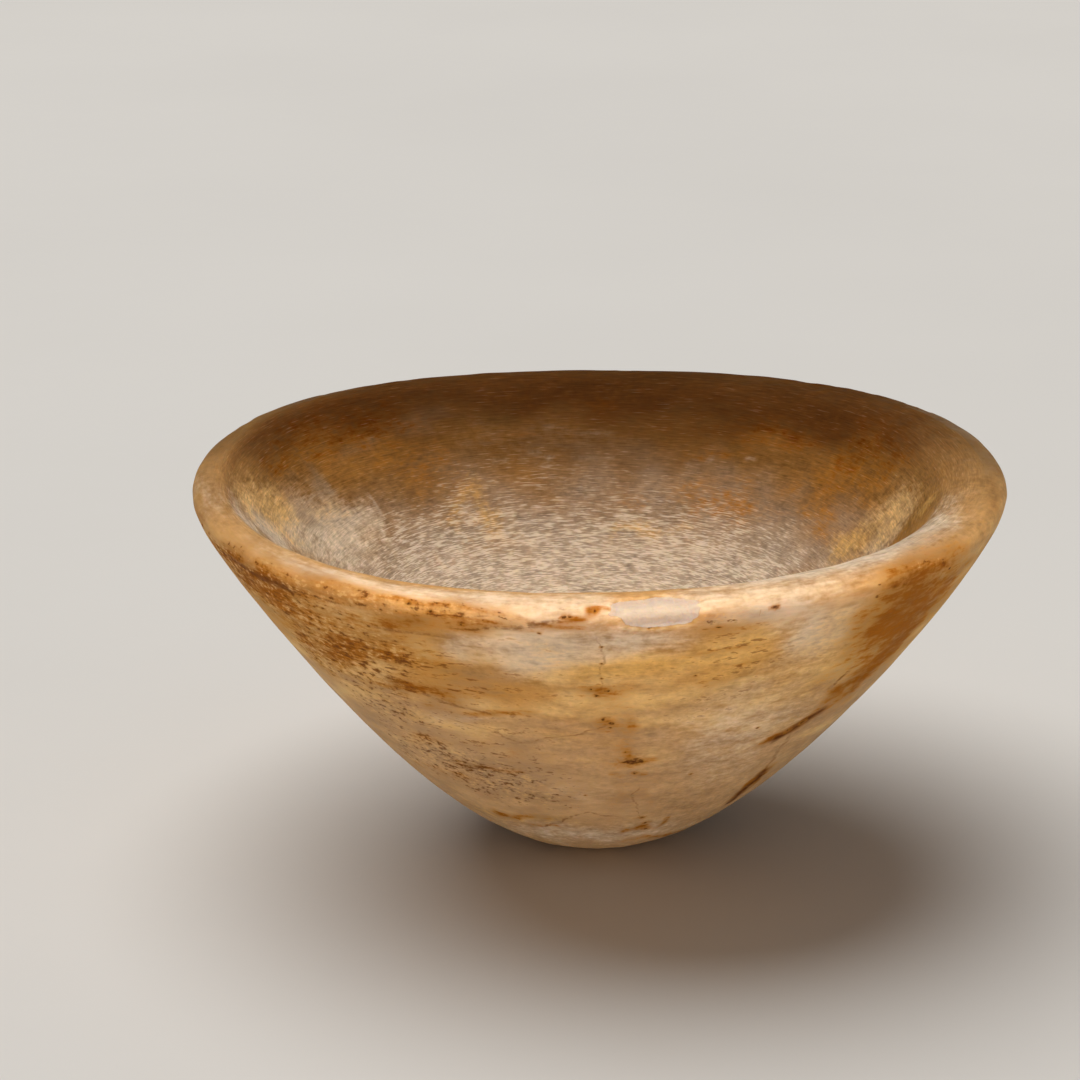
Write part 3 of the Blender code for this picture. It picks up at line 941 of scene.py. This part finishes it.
class Stone(Recipe):
    """The alabaster: clouded honey stone, stained and veined by iron, worn, and marked by the tool."""

    def __init__(self, name, colours, marks):
        super().__init__(name)
        self.colours = colours
        self.marks = marks
        point = self.place()
        self.level = self.parts(point)[2]
        self.wrap = self.mark("wrap")
        self.arc = self.parts(self.wrap)[2]
        self.inside = self.field("inside")
        self.outside = 1.0 - self.inside
        self.grain = self.noise(point, GRAIN_SCALE, 2.0, 0.66)
        self.fibre = self.stretched(self.wrap, FIBRES, 2.0, 0.62)
        self.streak = self.stretched(self.wrap, STREAKS, 2.0, 0.60)
        self.tide = self.field("tide")
        self.height = self.grain * GRAIN_RELIEF
        self.colour = None

    def centred(self, value, amount):
        """A noise about a half made one about nought, times an amount."""
        return self.math("MULTIPLY_ADD", value, amount, -0.5 * amount)

    def ragged(self, name, low, high, rough):
        """A zone's field with its edge broken up by streaks and grain, as a factor from 0 to 1."""
        value = self.field(name)
        broken = self.centred(self.streak, 1.2) + self.centred(self.fibre, 0.9)
        broken = broken + self.centred(self.grain, 0.6)
        broken = broken * self.ramp(value, 0.03, 0.4, 0.0, rough)
        return self.ramp(value + broken, low, high)

    def lay(self, factor, colour, blend="MIX"):
        """Lays a colour over what is there."""
        self.colour = self.mix(factor, self.colour, colour, blend)

    def shade(self, tone):
        """Makes what is there lighter or darker."""
        grey = self.node("ShaderNodeCombineColor", {"Red": tone, "Green": tone, "Blue": tone})
        self.lay(1.0, grey, "MULTIPLY")

    def raise_by(self, factor, amount):
        """Adds to the surface's fine height, in mm."""
        self.height = self.height + factor * amount

    def body(self):
        """The stone itself: honey with pale clouds outside, rose low down, tan to brown in the hollow.

        The hollow's darker brown top is partly stain and partly painted shade under the lip.
        The heights at which one colour gives way to the next are in metres.
        """
        c = self.colours
        cloud = self.field("cloud")
        pale = self.ramp(cloud * 0.5 + self.tide * 0.5, 0.30, 0.72)
        outside = self.mix(pale, c.honey, c.pale_honey)
        low = self.ramp(self.level + self.centred(self.tide, 0.016), 0.046, 0.026)
        outside = self.mix(low * 0.9, outside, c.rose)
        wander = self.centred(cloud, 0.005) + self.centred(self.tide, 0.003)
        # Towards its top, under the lip, the hollow turns darker brown: partly stain, partly painted
        # shade
        high = self.ramp(self.level + wander, 0.033, 0.053)
        hollow = self.mix(high, c.hollow, c.hollow_top_stain_and_shade)
        self.colour = self.mix(self.inside, outside, hollow)
        self.lay(self.field("lip") * 0.75, c.lip)

    def zones(self):
        """The placed zones of colour from the widest to the darkest, painted light and shade among them.
        """
        c = self.colours
        for name, low, high, rough, share, colour, blend in (
            # pale stone, and painted light and glow on the front
            ("cream_and_painted_light", 0.10, 0.92, 0.5, 0.88, c.cream_and_painted_light, "MIX"),
            ("gold", 0.05, 1.15, 0.8, 0.80, c.gold, "MIX"),
            ("ash", 0.20, 0.80, 0.7, 0.60, c.ash, "MIX"),
            ("rust", 0.08, 0.98, 0.9, 1.00, c.rust, "MIX"),
            ("rust", 0.58, 1.10, 1.0, 0.95, c.deep_rust, "MIX"),
            # painted shade over the back of the lip and the hollow
            ("painted_shade", 0.10, 1.00, 0.4, 0.85, c.painted_shade, "MULTIPLY"),
        ):
            self.lay(self.ragged(name, low, high, rough) * share, colour, blend)

    def mottle(self):
        """Crystal grain, fibres and streaks: light and dark by noise of some mm and finer."""
        tone = 1.0
        for noise, amount in (
            (self.grain, 0.62), (self.fibre, 0.55), (self.streak, 0.60), (self.tide, 0.25)
        ):
            tone = tone + self.centred(noise, amount)
        self.shade(tone)
        self.raise_by(self.fibre, FIBRE_RELIEF)

    def strokes(self):
        """Fine dark strokes round the outside: where the streaks and the fibres peak together."""
        zone = self.field("stroked")
        peaks = self.streak * 0.45 + self.fibre * 0.55 - self.ramp(zone, 0.0, 1.0, 0.65, 0.535)
        strokes = self.ramp(peaks, 0.0, 0.09) * self.outside
        self.lay(strokes * self.ramp(zone, 0.0, 1.0, 0.20, 0.70), self.colours.umber)

    def pits(self):
        """Dark pits and pale crystals in rough zones: where grain and fibres peak or dip as one."""
        zone = self.field("pitted")
        both = self.grain * 0.55 + self.fibre * 0.45
        bar = self.ramp(zone, 0.04, 0.7, 0.24, 0.050)
        self.shade(self.centred(both, -3.0) * zone + 1.0)
        dark = self.ramp(both - 0.5 - bar, 0.0, 0.07)
        self.lay(dark * 0.72, self.colours.umber)
        pale = self.ramp(0.5 - both - bar, 0.0, 0.06)
        self.lay(pale * 0.50, self.colours.pale_honey)
        self.raise_by(dark, PIT_RELIEF)

    def dashes(self):
        """Pale strokes of the tool in the hollow, partly painted highlight: the peaks of two slanting,
        drawn-out noises.
        """
        zone = self.field("dashed")
        bar = self.ramp(zone, 0.0, 1.0, 0.66, 0.50) + self.centred(self.streak, -0.30)
        first, second = (
            self.stretched(self.sheared(self.wrap, self.arc, slant), factors, 1.0, 0.6)
            for slant, factors in DASH_SETS
        )
        cut = self.math("MAXIMUM", first, second)
        self.shade(self.centred(cut, 1.2) * self.inside + 0.95)
        strokes = self.ramp(cut - bar, 0.0, 0.16) * self.inside
        # The pale strokes are partly the tool marks' own colour and partly painted highlight
        self.lay(strokes * self.ramp(zone, 0.0, 0.8, 0.10, 0.60), self.colours.dash)

    def spots(self):
        """Iron spots: flattened balls with a ragged edge, each dark inside a brown halo."""
        nearest = FAR
        shift = self.centred(self.grain, 6.5)
        slide = self.centred(self.fibre, 4.5)
        warp = self.node("ShaderNodeCombineXYZ", {"X": shift, "Z": slide})
        for name in self.marks:
            if name.startswith("spots"):
                bent = self.vector("ADD", self.mark(name), warp)
                distance = self.node("ShaderNodeVectorMath", {0: bent}, "Value", operation="LENGTH")
                nearest = self.math("MINIMUM", nearest, distance)
        self.lay(self.ramp(nearest, 3.4, 0.8, 0.0, 0.75), self.colours.rust)
        self.lay(self.ramp(nearest, 1.7, 0.3, 0.0, 0.90), self.colours.iron)

    def cracks(self):
        """Cracks and veins: dark lines where the offset from a plane, bent by noise, is near nought.

        A line is broken up by noise, the less so the wider it is, and a wide one has a darker middle.
        """
        wander = self.centred(self.tide, 1.6) + self.centred(self.streak, 1.3)
        wander = wander + self.centred(self.grain, 0.6)
        broken = self.ramp(self.fibre + self.grain, 0.85, 1.12, 0.10, 0.85)
        core = self.ramp(self.fibre + self.streak, 0.85, 1.08, 0.10, 0.90)
        for name in self.marks:
            if name.startswith("cracks"):
                offset, strength, width = self.parts(self.mark(name))
                away = self.math("ABSOLUTE", offset + wander)
                line = self.ramp(away, width * 2.6, width * 0.3)
                full = self.math("MAXIMUM", broken, self.ramp(width, 0.25, 0.5, 0.0, 0.95))
                self.lay(line * strength * full, self.colours.umber)
                middle = self.ramp(away, width, width * 0.2) * strength
                middle = middle * self.ramp(width, 0.35, 0.75, 0.0, 0.85)
                self.lay(middle * core, self.colours.iron)

    def scars(self):
        """Flaked places: fresh pinkish white with a crisp, ragged edge."""
        fresh = self.ramp(self.field("flaked") + self.centred(self.grain, 0.40), 0.40, 0.54)
        pale = self.ramp(self.grain, 0.3, 0.7, 0.0, 0.4)
        self.lay(fresh * 0.85, self.mix(pale, self.colours.scar, self.colours.cream_and_painted_light))
        self.raise_by(fresh * self.grain, SCAR_RELIEF)

    def finish(self):
        """The worn surface: roughness by grain, fine relief, and light that sinks into the stone."""
        wear = self.grain * 0.5 + self.streak * 0.5
        rough = self.ramp(wear, 0.35, 0.65, 0.46, 0.70)
        bump = self.node("ShaderNodeBump", {"Strength": 1.0, "Distance": MM, "Height": self.height})
        look = {**SURFACE, "Base Color": self.colour, "Roughness": rough, "Normal": bump}
        for name, value in look.items():
            self.feed(self.shader.inputs[name], value)
        return self.material


def alabaster(colours, marks):
    """The cup's material, laid down from the stone itself to the newest marks."""
    stone = Stone("alabaster_surface", colours, marks)
    for layer in (
        stone.body, stone.zones, stone.mottle, stone.strokes, stone.dashes,
        stone.cracks, stone.spots, stone.pits, stone.scars,
    ):
        layer()
    return stone.finish()


# Operators


def link_mesh(name, mesh):
    """Puts a mesh into the scene as an object at the origin."""
    piece = bpy.data.objects.new(name, mesh)
    bpy.context.scene.collection.objects.link(piece)
    return piece


class CarveCup(bpy.types.Operator):
    """Makes the cup's finished surface, its fields and its stone"""

    bl_idname = "object.carve_alabaster_cup"
    bl_label = "Carve the cup"

    def execute(self, context):
        skin = Skin(context.scene.cup_sizes)
        mesh = closed_mesh("cup_stone", skin)
        marks = store_fields(mesh, skin)
        mesh.materials.append(alabaster(context.scene.stone_colours, marks))
        cup = link_mesh("cup_stone", mesh)
        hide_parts("cup")
        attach(cup, "root")
        return {"FINISHED"}


def aim(direction):
    """The turn that makes a light or camera look along a direction."""
    return Vector(direction).to_track_quat("-Z", "Y").to_euler()


def add_light(name, kind, place, direction, receivers, **settings):
    """Adds a light that the camera doesn't see and that falls on the receivers alone."""
    light = bpy.data.lights.new(name, kind)
    for key, value in settings.items():
        setattr(light, key, value)
    lamp = bpy.data.objects.new(name, light)
    lamp.location = place
    lamp.rotation_euler = aim(direction)
    lamp.visible_camera = False
    lit = bpy.data.collections.new(f"lit_by_{name}")
    for item in receivers:
        lit.objects.link(item)
    lamp.light_linking.receiver_collection = lit
    bpy.context.scene.collection.objects.link(lamp)
    return lamp


class SetCupStage(bpy.types.Operator):
    """Makes the pale floor, the soft lights and the camera"""

    bl_idname = "scene.set_cup_stage"
    bl_label = "Set the stage"

    def execute(self, context):
        look = context.scene.stage_look
        self.floor(look)
        self.lights(look)
        self.sky(context.scene, look)
        self.camera(context.scene, look)
        return {"FINISHED"}

    def floor(self, look):
        """A level grid, far wider than the view, of smooth pale board."""
        steps = np.linspace(-FLOOR_HALF, FLOOR_HALF, FLOOR_POINTS)
        x, y = np.meshgrid(steps, steps)
        points = np.stack((x, y, np.zeros_like(x)), axis=-1).reshape(-1, 3)
        step = np.arange(FLOOR_POINTS - 1)
        corner = (step[:, None] * FLOOR_POINTS + step).ravel()
        far = corner + FLOOR_POINTS
        quads = np.stack((corner, corner + 1, far + 1, far), axis=-1)
        mesh = bpy.data.meshes.new("floor_board")
        mesh.from_pydata(points.tolist(), [], quads.tolist())
        board = Recipe("pale_board")
        point = board.place()
        cloud = board.ramp(board.noise(point, 3.0), 0.3, 0.7)
        shaded = [0.96 * part for part in look.floor_colour]
        board.feed(board.shader.inputs["Base Color"], board.mix(cloud, look.floor_colour, shaded))
        wear = board.ramp(board.noise(point, 60.0), 0.3, 0.7, 0.7, 0.85)
        board.feed(board.shader.inputs["Roughness"], wear)
        mesh.materials.append(board.material)
        link_mesh("floor_board", mesh)

    def lights(self, look):
        """A pool of soft light over the cup's front, a low panel before it, a wash on the floor."""
        cup = [bpy.data.objects["cup_stone"]]
        board = [bpy.data.objects["floor_board"]]
        add_light(
            "pool", "SPOT", POOL_PLACE, POOL_TARGET - POOL_PLACE, cup, energy=look.pool_power,
            spot_size=look.pool_width, spot_blend=POOL_BLEND, shadow_soft_size=POOL_SOFTNESS,
            color=POOL_COLOUR,
        )
        width, height = FILL_SIZE
        add_light(
            "low_fill", "AREA", FILL_PLACE, FILL_WAY, cup, energy=look.fill_power, shape="RECTANGLE",
            size=width, size_y=height, color=FILL_COLOUR,
        )
        add_light(
            "floor_wash", "SUN", WASH_PLACE, WASH_WAY, board, energy=look.wash_strength,
            angle=WASH_SPREAD, color=SKY_COLOUR,
        )

    def sky(self, scene, look):
        """Even pale light from all round."""
        world = bpy.data.worlds.new("soft_sky")
        world.use_nodes = True
        background = world.node_tree.nodes["Background"]
        background.inputs["Color"].default_value = opaque(SKY_COLOUR)
        background.inputs["Strength"].default_value = look.sky_strength
        scene.world = world
        scene.view_settings.view_transform = "Standard"

    def camera(self, scene, look):
        """The camera at the photograph's angle, in front of the rim's axis."""
        lens = bpy.data.cameras.new("view")
        lens.sensor_width = SENSOR_WIDTH
        lens.lens = look.camera_lens
        lens.shift_x = look.camera_shift
        lens.dof.use_dof = False
        camera = bpy.data.objects.new("view", lens)
        axis = scene.cup_sizes.body_lean
        camera.location = (axis, -look.camera_distance, look.camera_height)
        camera.rotation_euler = (math.pi / 2 - look.camera_pitch, 0.0, 0.0)
        scene.collection.objects.link(camera)
        scene.camera = camera


class CupPanel(bpy.types.Panel):
    """Lists the cup's sizes, colours and stage with the buttons that make them"""

    bl_idname = "VIEW3D_PT_alabaster_cup"
    bl_label = "Alabaster cup"
    bl_space_type = "VIEW_3D"
    bl_region_type = "UI"
    bl_category = "Cup"

    def draw(self, context):
        for operator, group in (
            (CarveCup.bl_idname, context.scene.cup_sizes),
            (None, context.scene.stone_colours),
            (SetCupStage.bl_idname, context.scene.stage_look),
        ):
            box = self.layout.box()
            if operator:
                box.operator(operator)
            for name in group.__annotations__:
                box.prop(group, name)


CLASSES = (CupSizes, StoneColours, StageLook, CarveCup, SetCupStage, CupPanel)
GROUPS = {"cup_sizes": CupSizes, "stone_colours": StoneColours, "stage_look": StageLook}


def register():
    """Makes the classes and the scene's values known."""
    for item in CLASSES:
        bpy.utils.register_class(item)
    for name, group in GROUPS.items():
        setattr(bpy.types.Scene, name, PointerProperty(type=group))


def unregister():
    """Takes them out again, in the other order."""
    for name in GROUPS:
        delattr(bpy.types.Scene, name)
    for item in reversed(CLASSES):
        bpy.utils.unregister_class(item)


def main():
    """Makes the cup and its stage."""
    register()
    bpy.ops.object.carve_alabaster_cup()
    bpy.ops.scene.set_cup_stage()


if __name__ == "__main__":
    main()
